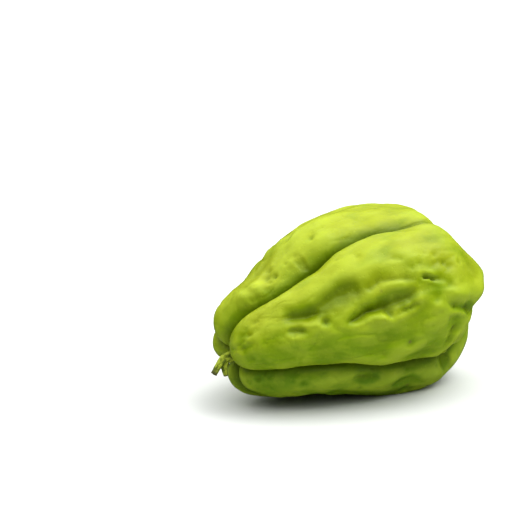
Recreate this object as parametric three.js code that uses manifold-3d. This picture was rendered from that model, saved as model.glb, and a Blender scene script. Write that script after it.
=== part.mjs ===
// A chayote squash, lying on its side: one pear-shaped fruit with five lobes, deep furrows between them,
// wrinkles and dimples on the lobes, a pit at each end, and a short cut stem in the narrow end's pit.
// Millimetres and degrees, +Z up. The fruit lies along X with its stem towards -X, on the plane Z = 0.
import * as THREE from "three";
import { mergeVertices } from "three/addons/utils/BufferGeometryUtils.js";
import Module from "manifold-3d";

// Driving dimensions of the plain body, a pear without lobes.
const BODY_LENGTH = 131; // end to end along the axis
const BODY_RADIUS = 38.5; // at the middle
const TAPER = 0.32; // how much wider the blossom half is than the stem half
const BELLY = 0.05; // extra width towards both ends
const BLUNTNESS = 0.91; // 1 is a round end, less is blunter
const PIT_DEPTH = 10; // how far both ends sink in at the axis
const PIT_RADIUS = 13;
const ARCH = -3; // the ends of the axis sit this much lower than its middle
const BOW = 3.4; // and this much further back
const NOSE_DOWN = 10; // the axis tips down towards the stem
const SETTLE = 1.2; // the skin is pressed flat this deep where it carries the weight

// The stem and the small spur on its underside, and the plain socket that holds the root. The points are
// steps away from the pit's floor, and the root goes the other way, into the flesh.
const STEM_ROUTE = [[4, 0, 0], [0, 0, 0], [-3.5, 0, 0], [-7.5, -0.6, -1.8], [-10.5, -1, -4.2]];
const STEM_RADII = [2, 2.3, 1.9, 1.3, 1.2]; // at those points: thick in its pit, thin at the cut
const SPUR_ROUTE = [[-3, -0.2, -1], [-5.2, -1.4, -3.6], [-5.4, -2.2, -6.6]];
const SPUR_RADII = [1.4, 1.2, 0.8];
const STEM_RIDGES = 5;
const RIDGE_HEIGHT = 0.14; // of the stem's radius
const STEM_STEPS = 10;
const STEM_SIDES = 15;
const SOCKET_GAP = 0.3;

// The mesh: rows from end to end, and columns across each lobe.
const ROWS = 54;
const COLUMNS = [36, 20, 14, 14, 16];
const MIDDLE_SHARE = 0.25; // rows stand closer together towards the middle
const EDGE_SHARE = 0.5; // columns stand closer together towards the furrows

// The furrows in order round the fruit. Places on the skin are given as a station, from -1 at the stem's pit
// to 1 at the blossom's, and an angle, with 0 facing the viewer (-Y) and 90 facing up. A list of terms is a
// polynomial of the station: constant, linear, square, cube. A furrow's two sides have half widths of their
// own, where above is towards greater angles. A bend is a station, a reach and the angle of the swerve there.
const FURROWS = [
  {
    name: "lower",
    angle: [-29.4, -19, 1, 8],
    depth: [5, 0.3],
    below: 4.2,
    above: 2,
    sway: 1.2,
    phase: 0.4,
    bends: [[-0.29, 0.12, 4], [-0.09, 0.05, -0.8], [0.16, 0.12, -2.6]],
  },
  {
    name: "upper",
    angle: [64.5, -4, -4, -19],
    depth: [3.8, -3.4, -1.2],
    below: 2,
    above: 4.2,
    sway: 0.8,
    phase: 2.1,
    bends: [[0.2, 0.13, 3.2], [-0.08, 0.22, 2.3], [-0.6, 0.14, -3.3]],
  },
  {
    name: "back",
    angle: [140, -2, 3],
    depth: [4.4, 0.3],
    below: 3,
    above: 4.2,
    sway: 1.5,
    phase: 3.3,
    bends: [],
  },
  {
    name: "far",
    angle: [204, -6, 2, -1],
    depth: [4.8],
    below: 3.6,
    above: 3.6,
    sway: 1.4,
    phase: 5.2,
    bends: [],
  },
  {
    name: "under",
    angle: [285, -15, -1],
    depth: [4.2],
    below: 3.6,
    above: 3,
    sway: 1.2,
    phase: 1.3,
    bends: [[-0.85, 0.3, -15]],
  },
];
const SWAY_RATE = 9; // a furrow sways once in about 0.7 of a station
const FURROW_FOOT = 1.5; // the lobes' feet lie this far under the plain body
const FURROW_SHARPNESS = 1.2; // of its cross-section: 2 is a round trough, less is a sharper crease
const FURROW_NARROWS = 0.4; // how narrow a furrow gets at the ends
const LOBE_PLUMPNESS = 0.48; // 1 is a sine's arch across the lobe, less has fuller sides

// How far each lobe's crest swells past the plain body, by station.
const LOBES = [
  { name: "front", swell: [4.2, 2.8, 2.4] },
  { name: "top", swell: [2.2, -2.6, -0.6] },
  { name: "rear", swell: [0.9, -0.5, 0.5] },
  { name: "rear under", swell: [-1.6, -1.2, 1.6] },
  { name: "front under", swell: [3.3, 3.9, -1.4] },
];

// Soft rises and hollows of the whole form: where, how far they reach and how high they stand.
const SWELLS = [
  { name: "neck over the stem end", at: [-0.5, 100], reach: 16, rise: -2.6 },
  { name: "shoulder of the top lobe", at: [-0.15, 105], reach: 20, rise: 2.4 },
  { name: "flat back of the top lobe", at: [0.42, 95], reach: 20, rise: -2 },
  { name: "slope down to the blossom end", at: [0.84, 62], reach: 17, rise: -4 },
  { name: "end of the upper furrow", at: [0.62, 60], reach: 10, rise: 3.6 },
  { name: "corner over the blossom end", at: [0.86, 28], reach: 9, rise: -1 },
  { name: "tucked corner of the front lobe", at: [0.74, -20], reach: 13, rise: -4.5 },
  { name: "slope under the rim", at: [0.86, -20], reach: 9, rise: -4.5 },
  { name: "notch in the rim", at: [0.71, -11], reach: 6, rise: -2.6 },
  { name: "slope over the rim's tip", at: [0.75, 14], reach: 7, rise: -1.4 },
  { name: "tip of the rim", at: [0.71, 0], reach: 6, rise: 2.6 },
  { name: "flat belly of the front under lobe", at: [-0.27, -47], reach: 16, rise: -2.2 },
  { name: "its full stem end", at: [-0.62, -62], reach: 12, rise: 1.2 },
  { name: "its full blossom end", at: [0.48, -48], reach: 12, rise: 1 },
  { name: "hollow beside the upper furrow", at: [-0.3, 72], reach: 9, rise: -2.2 },
  { name: "and its far end", at: [-0.47, 72], reach: 8, rise: -1.4 },
  { name: "knuckle beside the stem", at: [-0.71, 88], reach: 5.5, rise: 1.6 },
  { name: "second knuckle", at: [-0.62, 87], reach: 4.5, rise: 1 },
  { name: "tucked top of the stem end", at: [-0.93, 100], reach: 10, rise: -1.2 },
  { name: "tucked underside of the stem end", at: [-0.9, 235], reach: 12, rise: -2.5 },
  { name: "full underside of the stem end", at: [-0.88, 275], reach: 10, rise: 3 },
  { name: "full nose of the front lobe", at: [-0.92, 20], reach: 10, rise: 1.5 },
];

// The folds that show on the front lobe: the way each runs, its depth and its half width. A fold is wide and
// gentle above and steep below, as far as its skew says, and the skin swells along it as far as its lip says.
const CREASE = { lip: 0.22, skew: 1 };
const VALE = { lip: 0, skew: 0 };
const WRINKLES = [
  {
    name: "sharp start of the terrace",
    along: [[-0.64, 36.5], [-0.56, 32], [-0.5, 30.5], [-0.41, 29]],
    depth: 2.6,
    width: 2.6,
    ...CREASE,
  },
  {
    name: "terrace",
    along: [[-0.42, 30.5], [-0.33, 33], [-0.2, 33.5], [-0.08, 31]],
    depth: 2.7,
    width: 4.2,
    ...VALE,
  },
  {
    name: "long fold",
    along: [[-0.08, 29.5], [0, 31.5], [0.12, 28.5], [0.25, 24.5]],
    depth: 1.5,
    width: 2.4,
    ...CREASE,
    lip: 0.12,
  },
  { name: "its dark mouth", along: [[0.27, 25], [0.36, 21.3]], depth: 2.6, width: 1, ...CREASE },
  { name: "its tail", along: [[0.34, 22], [0.44, 18.5]], depth: 0.7, width: 1.6, ...CREASE },
  {
    name: "middle fold",
    along: [[-0.17, 16.5], [-0.07, 15.8], [0.03, 16], [0.13, 16.5], [0.21, 19]],
    depth: 2.8,
    width: 2.8,
    ...CREASE,
  },
  {
    name: "broken fold",
    along: [[-0.3, 15.5], [-0.22, 14.8], [-0.15, 16.5], [-0.07, 15.8]],
    depth: 2.2,
    width: 1.8,
    ...CREASE,
  },
  { name: "its notch", along: [[-0.05, 15.5], [0, 9.2]], depth: 3, width: 1.7, ...CREASE },
  { name: "its other half", along: [[0, 9.5], [0.08, 10.8], [0.2, 12]], depth: 1.6, width: 1.6, ...CREASE },
  {
    name: "mouth's fold",
    along: [[0.38, 6.5], [0.46, 3], [0.54, -1], [0.6, -5]],
    depth: 2,
    width: 1.8,
    ...CREASE,
  },
  { name: "shallow upper line", along: [[0.11, 41], [0.19, 38]], depth: 0.7, width: 1.2, ...CREASE },
  { name: "band under the crest", along: [[0.1, 39], [0.28, 32], [0.5, 25]], depth: 1, width: 4, ...VALE },
  {
    name: "lower left line",
    along: [[-0.64, 24.5], [-0.58, 21], [-0.53, 19]],
    depth: 1.5,
    width: 2,
    ...CREASE,
  },
  {
    name: "front lobe's end",
    along: [[0.38, -24], [0.425, -14], [0.45, -8]],
    depth: 1.4,
    width: 1.5,
    ...CREASE,
  },
  {
    name: "crack under it",
    along: [[0.64, -38], [0.55, -33], [0.48, -29], [0.42, -31], [0.4, -38]],
    depth: 3.2,
    width: 1.7,
    ...VALE,
  },
  {
    name: "hollow in the crack",
    along: [[0.45, -46], [0.51, -44.5], [0.58, -43.5]],
    depth: 3.8,
    width: 3.2,
    ...VALE,
  },
];
const DIMPLES = [
  { at: [-0.42, 20.5], depth: 2.2, width: 1.3 },
  { at: [-0.08, 30.5], depth: 1.2, width: 1.3 },
  { at: [-0.06, 51], depth: 0.9, width: 1.5 },
  { at: [-0.17, 57], depth: 0.8, width: 1.8 },
  { at: [0.48, 24.5], depth: 0.8, width: 2.6 },
  { at: [0.44, 15.8], depth: 1.3, width: 2 },
  { at: [0.31, 10], depth: 1.2, width: 1.9 },
  { at: [0.1, -11], depth: 1.3, width: 2.2 },
  { at: [-0.09, -14], depth: 1, width: 1.9 },
  { at: [-0.165, 84.5], depth: 1.2, width: 1.3 },
  { at: [-0.49, 91], depth: 1.2, width: 1.5 },
  { at: [-0.76, 49.5], depth: 0.6, width: 1.4 },
  { at: [-0.85, 44], depth: 0.9, width: 1.6 },
  { at: [-0.82, 39], depth: 0.6, width: 1.2 },
  { at: [-0.81, -27], depth: 0.8, width: 1.4 },
  { at: [-0.63, -27], depth: 1.2, width: 1.6 },
  { at: [-0.57, -35], depth: 1.4, width: 1.6 },
];

// The blossom end's mouth: a puckered slit across the pit.
const MOUTH = {
  along: [[0.58, -5], [0.8, -7], [1, -7], [1, 172], [0.9, 172], [0.72, 176]],
  depth: 4.5,
  width: 2.6,
  ...CREASE,
};

const CREASE_SHARPNESS = 1.4; // as a furrow's
const DIMPLE = { lip: 0.06, skew: 1 };
const WIDTH_ABOVE = 1.45; // of a fold's width, straight above it
const WIDTH_BELOW = 0.6; // and straight below it
const CREASE_REACH = 4; // half widths, past which a fold does nothing
const FADE_START = 0.25; // the share of its depth that a fold has at its very ends
const FADE_RATE = 3; // and how fast it gets its whole depth from there
const CHAIN_STEPS = 4; // between two points of a fold
const TOUCHING = 1e-3; // a distance under which a point counts as on the fold's line

// Seeded wrinkles on the lobes that the lists above don't reach: how many, and the range of each measure.
const SEED = 20417;
const LOOSE_COUNTS = [0, 3, 9, 9, 5];
const LOOSE = {
  start: [-0.75, 0.7],
  length: [0.08, 0.32],
  across: [0.2, 0.8],
  drift: [-7, 7],
  depth: [0.7, 1.9],
  width: [1.7, 3],
};

// The lumps that cover the whole skin, as seeded waves, longer along the fruit than round it.
const LUMPS = [
  { wave: 34, height: 0.5, count: 5 },
  { wave: 15, height: 0.2, count: 7 },
  { wave: 8, height: 0.07, count: 9 },
];
const LUMP_STRETCH = 0.6;

const radians = THREE.MathUtils.degToRad;
const polynomial = (terms, station) => terms.reduceRight((sum, term) => sum * station + term, 0);
const { clamp } = THREE.MathUtils;
const mix = (a, b, share) => a + (b - a) * share;

// The same row of numbers from 0 to 1 each time, from a linear congruential rule.
function seededRandom(seed) {
  const [factor, step, modulus] = [9301, 49297, 233280];
  let state = seed;
  return () => {
    state = (state * factor + step) % modulus;
    return state / modulus;
  };
}

// The plain profile's point at phi, which runs from 0 at the stem's pit to pi at the blossom's.
function profile(phi) {
  const station = -Math.cos(phi);
  const s = Math.max(Math.sin(phi), 0);
  const radius = BODY_RADIUS * s ** BLUNTNESS * (1 + TAPER * station + BELLY * station ** 2);
  const pit = PIT_DEPTH * Math.exp(-((radius / PIT_RADIUS) ** 2));
  return { station, s, radius, x: (BODY_LENGTH / 2) * station - Math.sign(station) * pit };
}

// The profile's outward normal in the (x, radius) half-plane, from points a little to each side.
function profileNormal(phi) {
  const nudge = 1e-3;
  const before = profile(Math.max(phi - nudge, 0));
  const after = profile(Math.min(phi + nudge, Math.PI));
  const dx = after.x - before.x;
  const dr = after.radius - before.radius;
  const size = Math.hypot(dx, dr);
  return { x: -dr / size, radius: dx / size };
}

// The point a height above the plain body, with the axis arched and bowed.
function raisedPoint(phi, angle, height) {
  const { station, radius, x } = profile(phi);
  const normal = profileNormal(phi);
  const out = Math.max(radius + height * normal.radius, 0);
  const turn = radians(angle);
  return new THREE.Vector3(
    x + height * normal.x,
    -out * Math.cos(turn) + BOW * station ** 2,
    out * Math.sin(turn) + ARCH * station ** 2,
  );
}

const placeOnBody = ([station, angle]) => raisedPoint(Math.acos(-station), angle, 0);

// A furrow's angle at a station; index 5 is furrow 0 again, one turn on.
function furrowAngle(index, station) {
  const furrow = FURROWS[index % FURROWS.length];
  let angle = polynomial(furrow.angle, station);
  angle += furrow.sway * Math.sin(SWAY_RATE * station + furrow.phase);
  for (const [middle, reach, swerve] of furrow.bends) {
    angle += swerve * Math.exp(-(((station - middle) / reach) ** 2));
  }
  return angle + (index >= FURROWS.length ? 360 : 0);
}

// Wrinkles at seeded places, running lengthwise with a drift to one side.
function looseWrinkles() {
  const random = seededRandom(SEED);
  const draw = ([low, high]) => mix(low, high, random());
  return LOOSE_COUNTS.flatMap((count, lobe) =>
    Array.from({ length: count }, () => {
      const start = draw(LOOSE.start);
      const end = Math.min(start + draw(LOOSE.length), 1);
      const middle = (start + end) / 2;
      const across = draw(LOOSE.across);
      const drift = draw(LOOSE.drift);
      const at = (station) => mix(furrowAngle(lobe, station), furrowAngle(lobe + 1, station), across);
      const along = [[start, at(start)], [middle, at(middle) + drift], [end, at(end) + drift / 2]];
      return { along, depth: draw(LOOSE.depth), width: draw(LOOSE.width), ...CREASE };
    }),
  );
}

// Every fold as a chain of places on the plain body with their angles, a few millimetres apart. A dimple's
// chain is one place.
function foldChains() {
  const dimples = DIMPLES.map(({ at, ...size }) => ({ along: [at], ...size, ...DIMPLE }));
  return [...WRINKLES, ...looseWrinkles(), MOUTH, ...dimples].map(({ along, ...size }) => {
    const chain = [{ place: placeOnBody(along[0]), angle: along[0][1] }];
    for (let i = 1; i < along.length; i += 1) {
      for (let k = 1; k <= CHAIN_STEPS; k += 1) {
        const station = mix(along[i - 1][0], along[i][0], k / CHAIN_STEPS);
        const angle = mix(along[i - 1][1], along[i][1], k / CHAIN_STEPS);
        chain.push({ place: placeOnBody([station, angle]), angle });
      }
    }
    return { chain, ...size };
  });
}
const FOLDS = foldChains();

// A fold's cross-section: a crease that is 1 deep in its middle, with a low swelling along each side.
function creaseShape(away, lip) {
  return Math.exp(-(away ** CREASE_SHARPNESS)) - lip * Math.exp(-((away - 2) ** 2));
}

// The depth of one fold at a point of the plain body with an angle and a radius: it is full along the middle
// and runs out at both ends.
function foldDepth({ chain, depth, width, lip, skew }, point, angle, radius) {
  let nearest = point.distanceTo(chain[0].place);
  let share = 0;
  let foldAngle = chain[0].angle;
  for (let i = 1; i < chain.length; i += 1) {
    const segment = new THREE.Line3(chain[i - 1].place, chain[i].place);
    const t = segment.closestPointToPointParameter(point, true);
    const away = segment.at(t, new THREE.Vector3()).distanceTo(point);
    if (away < nearest) {
      nearest = away;
      share = (i - 1 + t) / (chain.length - 1);
      foldAngle = mix(chain[i - 1].angle, chain[i].angle, t);
    }
  }
  const turn = THREE.MathUtils.euclideanModulo(angle - foldAngle + 180, 360) - 180;
  const rise = clamp((radius * radians(turn)) / Math.max(nearest, TOUCHING), -1, 1);
  const middleWidth = (WIDTH_ABOVE + WIDTH_BELOW) / 2;
  const lean = (skew * (WIDTH_ABOVE - WIDTH_BELOW)) / 2;
  const away = nearest / (width * (middleWidth + lean * rise));
  if (away > CREASE_REACH) return 0;
  const fromEnd = Math.min(share, 1 - share);
  const fade = chain.length > 1 ? Math.min(1, FADE_START + FADE_RATE * fromEnd) : 1;
  return depth * fade * creaseShape(away, lip);
}

// Waves in seeded directions, added up, which lump the skin all over.
function lumpWaves() {
  const random = seededRandom(SEED + 1);
  return LUMPS.flatMap(({ wave, height, count }) =>
    Array.from({ length: count }, () => {
      const turn = 2 * Math.PI * random();
      const lift = mix(-1, 1, random());
      const level = Math.sqrt(1 - lift * lift);
      const along = new THREE.Vector3(LUMP_STRETCH * level * Math.cos(turn), level * Math.sin(turn), lift);
      along.multiplyScalar((2 * Math.PI) / wave);
      return { along, height, phase: 2 * Math.PI * random() };
    }),
  );
}
const WAVES = lumpWaves();

// How far the skin stands off the plain body at share v of the way across a lobe.
function relief(phi, lobe, v, angle) {
  const { station, s, radius } = profile(phi);
  const place = raisedPoint(phi, angle, 0);
  const arch = Math.sin(Math.PI * v) ** LOBE_PLUMPNESS;
  let height = polynomial(LOBES[lobe].swell, station) * arch * Math.sqrt(s);
  height -= FURROW_FOOT * (1 - arch) * s;
  for (const side of [0, 1]) {
    const furrow = FURROWS[(lobe + side) % FURROWS.length];
    const away = radius * Math.abs(radians(angle - furrowAngle(lobe + side, station)));
    const width = (side === 0 ? furrow.above : furrow.below) * mix(FURROW_NARROWS, 1, s);
    height -= polynomial(furrow.depth, station) * Math.exp(-((away / width) ** FURROW_SHARPNESS));
  }
  for (const { at, reach, rise } of SWELLS) {
    height += rise * Math.exp(-((place.distanceTo(placeOnBody(at)) / reach) ** 2));
  }
  for (const fold of FOLDS) height -= foldDepth(fold, place, angle, radius);
  for (const { along, height: crest, phase } of WAVES) {
    height += crest * s * Math.sin(along.dot(place) + phase);
  }
  return height;
}

// A point of the finished skin. q runs from 0 to 1 across the lobe, with columns closer near the furrows.
function skinPoint(phi, lobe, q) {
  const v = q - (EDGE_SHARE * Math.sin(2 * Math.PI * q)) / (2 * Math.PI);
  const { station } = profile(phi);
  const angle = mix(furrowAngle(lobe, station), furrowAngle(lobe + 1, station), v);
  return raisedPoint(phi, angle, relief(phi, lobe, v, angle));
}

// A closed geometry from rings of points, with a single point at each end. Seen along the way that the rings
// follow, each one turns anticlockwise, so that the faces point out.
function closedSkin(first, rings, last) {
  const around = rings[0].length;
  const points = [first, ...rings.flat(), last];
  const at = (row, column) => 1 + row * around + (column % around);
  const faces = [];
  for (let j = 0; j < around; j += 1) {
    faces.push(0, at(0, j), at(0, j + 1));
    for (let i = 0; i < rings.length - 1; i += 1) {
      faces.push(at(i, j), at(i + 1, j), at(i + 1, j + 1));
      faces.push(at(i, j), at(i + 1, j + 1), at(i, j + 1));
    }
    faces.push(points.length - 1, at(rings.length - 1, j + 1), at(rings.length - 1, j));
  }
  const geometry = new THREE.BufferGeometry().setFromPoints(points);
  geometry.setIndex(faces);
  return geometry;
}

function bodyGeometry() {
  const rings = [];
  for (let row = 1; row < ROWS; row += 1) {
    const t = row / ROWS;
    const phi = Math.PI * t + (MIDDLE_SHARE / 2) * Math.sin(2 * Math.PI * t);
    const ring = COLUMNS.flatMap((count, lobe) =>
      Array.from({ length: count }, (_, column) => skinPoint(phi, lobe, column / count)),
    );
    rings.push(ring);
  }
  return closedSkin(skinPoint(0, 0, 0), rings, skinPoint(Math.PI, 0, 0));
}

// A tube with rounded ridges along a smooth route. Its radius follows the list, and extra widens it all
// round.
function ridgedTube(route, radii, extra) {
  const curve = new THREE.CatmullRomCurve3(route.map((point) => new THREE.Vector3(...point)));
  const frames = curve.computeFrenetFrames(STEM_STEPS);
  const rings = Array.from({ length: STEM_STEPS + 1 }, (_, step) => {
    const share = step / STEM_STEPS;
    const place = share * (radii.length - 1);
    const below = Math.min(Math.floor(place), radii.length - 2);
    const plain = mix(radii[below], radii[below + 1], place - below);
    return Array.from({ length: STEM_SIDES }, (_, side) => {
      const turn = (2 * Math.PI * side) / STEM_SIDES;
      const radius = plain * (1 + RIDGE_HEIGHT * Math.cos(STEM_RIDGES * turn)) + extra;
      return curve
        .getPoint(share)
        .addScaledVector(frames.normals[step], radius * Math.cos(turn))
        .addScaledVector(frames.binormals[step], -radius * Math.sin(turn));
    });
  });
  const start = curve.getPoint(0).addScaledVector(curve.getTangent(0), -extra);
  const end = curve.getPoint(1).addScaledVector(curve.getTangent(1), extra);
  return closedSkin(start, rings, end);
}

const wasm = await Module();
wasm.setup();

// A closed geometry as a solid that can be joined and cut, and back again.
function toSolid(geometry) {
  const bare = geometry.clone();
  bare.deleteAttribute("normal");
  bare.deleteAttribute("uv");
  const merged = mergeVertices(bare, 1e-5);
  const vertProperties = new Float32Array(merged.attributes.position.array);
  const triVerts = new Uint32Array(merged.index.array);
  return new wasm.Manifold(new wasm.Mesh({ numProp: 3, vertProperties, triVerts }));
}
function toGeometry(solid) {
  const { vertProperties, triVerts } = solid.getMesh();
  const geometry = new THREE.BufferGeometry();
  geometry.setAttribute("position", new THREE.BufferAttribute(vertProperties, 3));
  geometry.setIndex(new THREE.BufferAttribute(triVerts, 1));
  return geometry;
}

// The stem with its spur, standing on the pit's floor and tipped with the fruit.
function stemSolid(extra) {
  const pitFloor = placeOnBody([-1, 0]);
  const tubes = [ridgedTube(STEM_ROUTE, STEM_RADII, extra), ridgedTube(SPUR_ROUTE, SPUR_RADII, extra)];
  const [stem, spur] = tubes.map((tube) => {
    tube.translate(pitFloor.x, pitFloor.y, pitFloor.z);
    return toSolid(tube.rotateY(radians(-NOSE_DOWN)));
  });
  return stem.add(spur);
}

// The fruit with the stem's socket in it, and with flat places where the floor bears it.
function fruitSolid() {
  const body = bodyGeometry().rotateY(radians(-NOSE_DOWN));
  body.computeBoundingBox();
  const floorLevel = body.boundingBox.min.z + SETTLE;
  const floor = new THREE.BoxGeometry(2 * BODY_LENGTH, 2 * BODY_LENGTH, BODY_LENGTH);
  floor.translate(0, 0, floorLevel - BODY_LENGTH / 2);
  return toSolid(body).subtract(stemSolid(SOCKET_GAP)).subtract(toSolid(floor));
}

const fruit = new THREE.Mesh(
  toGeometry(fruitSolid()),
  new THREE.MeshStandardMaterial({ color: 0xa9c832, roughness: 0.45, metalness: 0 }),
);
fruit.name = "fruit";

const stem = new THREE.Mesh(
  toGeometry(stemSolid(0)),
  new THREE.MeshStandardMaterial({ color: 0x7a8d26, roughness: 0.7, metalness: 0 }),
);
stem.name = "stem";

// The group stands on Z = 0 with its bounding box centred on the origin.
const chayote = new THREE.Group();
chayote.add(fruit, stem);
const box = new THREE.Box3().setFromObject(chayote);
const centre = box.getCenter(new THREE.Vector3());
chayote.position.set(-centre.x, -centre.y, -box.min.z);

export default chayote;
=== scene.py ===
"""A chayote squash lying on its side on a plain pale floor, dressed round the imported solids.

The fruit's skin is one surface over two parameters: phi runs from the stem's pit to the blossom's, and the
share v runs across each of the five lobes. It repeats the solid's own formula on a finer grid and adds what
is finer than the solid: sharp lines in the folds, small knuckles and vales, pocks, crepe and pebbles. All
lengths are metres, all angles degrees.
"""

import logging
import math
from dataclasses import dataclass, field
from enum import Enum
from typing import NamedTuple

import bpy
import numpy as np
from mathutils import Matrix, Vector


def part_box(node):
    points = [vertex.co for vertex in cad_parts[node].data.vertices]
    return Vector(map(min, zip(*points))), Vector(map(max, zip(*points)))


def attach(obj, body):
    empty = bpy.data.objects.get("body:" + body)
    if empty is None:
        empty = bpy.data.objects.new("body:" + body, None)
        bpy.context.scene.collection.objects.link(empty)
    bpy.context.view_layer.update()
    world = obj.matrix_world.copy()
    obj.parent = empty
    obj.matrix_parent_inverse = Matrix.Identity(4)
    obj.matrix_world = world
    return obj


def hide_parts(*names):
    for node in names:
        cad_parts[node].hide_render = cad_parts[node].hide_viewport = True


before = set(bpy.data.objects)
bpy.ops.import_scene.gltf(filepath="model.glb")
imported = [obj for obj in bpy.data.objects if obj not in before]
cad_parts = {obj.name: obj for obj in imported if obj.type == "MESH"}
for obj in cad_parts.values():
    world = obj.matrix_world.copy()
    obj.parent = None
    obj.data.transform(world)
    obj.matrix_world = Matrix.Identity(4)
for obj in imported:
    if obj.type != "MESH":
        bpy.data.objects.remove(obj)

BODY = "root"
LOG = logging.getLogger("chayote")

Array = np.ndarray
Colour = tuple[float, float, float]
Place = tuple[float, float]


class Mask(Enum):
    """The masks that a mesh carries for its finish, one value from 0 to 1 a vertex. All but the cut, which
    marks the stem's dry end, place painted light and shade on the skin.
    """

    # painted shade in furrows and hollows, a painted highlight on ridges, painted light where the skin faces
    # up, painted shade under overhangs and on the lower lobes
    FURROW_SHADE = "furrow"
    HOLLOW_SHADE = "hollow"
    RIDGE_HIGHLIGHT = "ridge"
    PAINTED_LIGHT = "painted_light"
    SHELTER_SHADE = "shelter"
    PAINTED_SHADE = "shade"
    CUT = "cut"


class Draws:
    """The same row of numbers from 0 to 1 each time, from the solid's linear congruential rule."""

    FACTOR, STEP, MODULUS = 9301, 49297, 233280

    def __init__(self, seed: int) -> None:
        """Start the row at a seed."""
        self.state = seed

    def next(self, low: float = 0.0, high: float = 1.0) -> float:
        """Give the next number, mixed between low and high."""
        self.state = (self.state * self.FACTOR + self.STEP) % self.MODULUS
        return low + (high - low) * self.state / self.MODULUS


@dataclass(frozen=True)
class Grain:
    """Seeded noise in space: random values on a cubic lattice, blended smoothly between its points.

    Attributes:
        seed: Picks the lattice's values.
        size: The lattice's spacing, metres.
        stretch: How much longer the noise is along X.
    """

    seed: int
    size: float
    stretch: float = 1.0

    CELLS = 32

    def at(self, points: Array) -> Array:
        """Give the noise at places.

        The value is the trilinear blend of a cell's eight corners, with each share s eased to
        s^3 (6 s^2 - 15 s + 10).

        Args:
            points: Places, with the last axis X, Y and Z.

        Returns:
            Values from -1 to 1, mostly within 0.6 of 0.
        """
        lattice = np.random.default_rng(self.seed).uniform(-1, 1, (self.CELLS,) * 3)
        spot = points / (self.size * np.array([self.stretch, 1, 1]))
        cell = np.floor(spot).astype(int)
        share = spot - cell
        share = share**3 * (share * (share * 6 - 15) + 10)
        total = np.zeros(points.shape[:-1])
        for corner in np.ndindex(2, 2, 2):
            weight = np.prod(np.where(corner, share, 1 - share), axis=-1)
            total += weight * lattice[tuple(np.moveaxis((cell + corner) % self.CELLS, -1, 0))]
        return total


def polynomial(terms: tuple[float, ...], station: Array) -> Array:
    """Add up each term times the station to the power of the term's place in the list."""
    return np.polynomial.polynomial.polyval(station, terms)


def turned(points: Array, degrees: float) -> Array:
    """Turn places about the Y axis, so that +X rises for a positive angle.

    Args:
        points: Places, with the last axis X, Y and Z.
        degrees: How far to turn.

    Returns:
        The turned places.
    """
    c, s = math.cos(math.radians(degrees)), math.sin(math.radians(degrees))
    return points @ np.array([[c, 0, s], [0, 1, 0], [-s, 0, c]])


class Profile(NamedTuple):
    """The plain body's half outline at phi: station, the sine of phi, radius and place along X."""

    station: Array
    s: Array
    radius: Array
    x: Array


@dataclass(frozen=True)
class Body:
    """The plain body, a pear without lobes, with its stem towards -X.

    Places on it are given as a station, from -1 at the stem's pit to 1 at the blossom's, and an angle, with 0
    facing the viewer (-Y) and 90 facing up.
    """

    length: float = 0.131
    radius: float = 0.0385
    taper: float = 0.32
    belly: float = 0.05
    bluntness: float = 0.91
    pit_depth: float = 0.010
    pit_radius: float = 0.013
    arch: float = -0.003
    bow: float = 0.0034
    nose_down: float = 10.0

    NUDGE = 1e-3

    def profile(self, phi: Array) -> Profile:
        """Work out the half outline.

        The station is -cos phi. The radius is (sin phi)^bluntness times 1 + taper c + belly c^2, with c the
        station. Both ends sink in by pit_depth times exp(-(radius / pit_radius)^2).

        Args:
            phi: From 0 at the stem's pit to pi at the blossom's.

        Returns:
            The outline's measures at phi.
        """
        station = -np.cos(phi)
        s = np.maximum(np.sin(phi), 0)
        radius = self.radius * s**self.bluntness * (1 + self.taper * station + self.belly * station**2)
        pit = self.pit_depth * np.exp(-((radius / self.pit_radius) ** 2))
        return Profile(station, s, radius, self.length / 2 * station - np.sign(station) * pit)

    def normal(self, phi: Array) -> tuple[Array, Array]:
        """Give the outline's outward normal as its parts along X and along the radius."""
        before = self.profile(np.maximum(phi - self.NUDGE, 0))
        after = self.profile(np.minimum(phi + self.NUDGE, math.pi))
        dx, dr = after.x - before.x, after.radius - before.radius
        size = np.hypot(dx, dr)
        return -dr / size, dx / size

    def raised(self, phi: Array, angle: Array, height: Array | float) -> Array:
        """Give places at a height above the plain body, with the axis arched and bowed.

        Args:
            phi: Places along the body.
            angle: Places round it, in degrees.
            height: How far to stand off along the outline's normal.

        Returns:
            Places in space, with X, Y and Z on a new last axis.
        """
        outline = self.profile(phi)
        along, away = self.normal(phi)
        out = np.maximum(outline.radius + height * away, 0)
        turn = np.radians(angle)
        x = outline.x + height * along + 0 * turn
        y = self.bow * outline.station**2 - out * np.cos(turn)
        z = self.arch * outline.station**2 + out * np.sin(turn)
        return np.stack(np.broadcast_arrays(x, y, z), axis=-1)

    def spot(self, station: Array | float, angle: Array | float) -> Array:
        """Give the place on the plain body at a station and an angle."""
        return self.raised(np.arccos(-np.asarray(station, float)), np.asarray(angle, float), 0.0)


@dataclass(frozen=True)
class Furrow:
    """A furrow between two lobes: polynomials of the station for its angle and depth, and a slow sway.

    Its sides have widths of their own, below and above it, where above is towards greater angles. A bend is a
    station, a reach along it and the angle by which the furrow swerves there.
    """

    angle: tuple[float, ...]
    depth: tuple[float, ...]
    below: float
    above: float
    sway: float
    phase: float
    bends: tuple[tuple[float, float, float], ...] = ()

    SWAY_RATE = 9

    def at(self, station: Array) -> Array:
        """Give the furrow's angle at a station.

        It is the polynomial plus sway times sin(rate c + phase), and each bend adds its angle times
        exp(-((c - station) / reach)^2).
        """
        angle = polynomial(self.angle, station) + self.sway * np.sin(self.SWAY_RATE * station + self.phase)
        for middle, reach, swerve in self.bends:
            angle = angle + swerve * np.exp(-(((station - middle) / reach) ** 2))
        return angle


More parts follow.
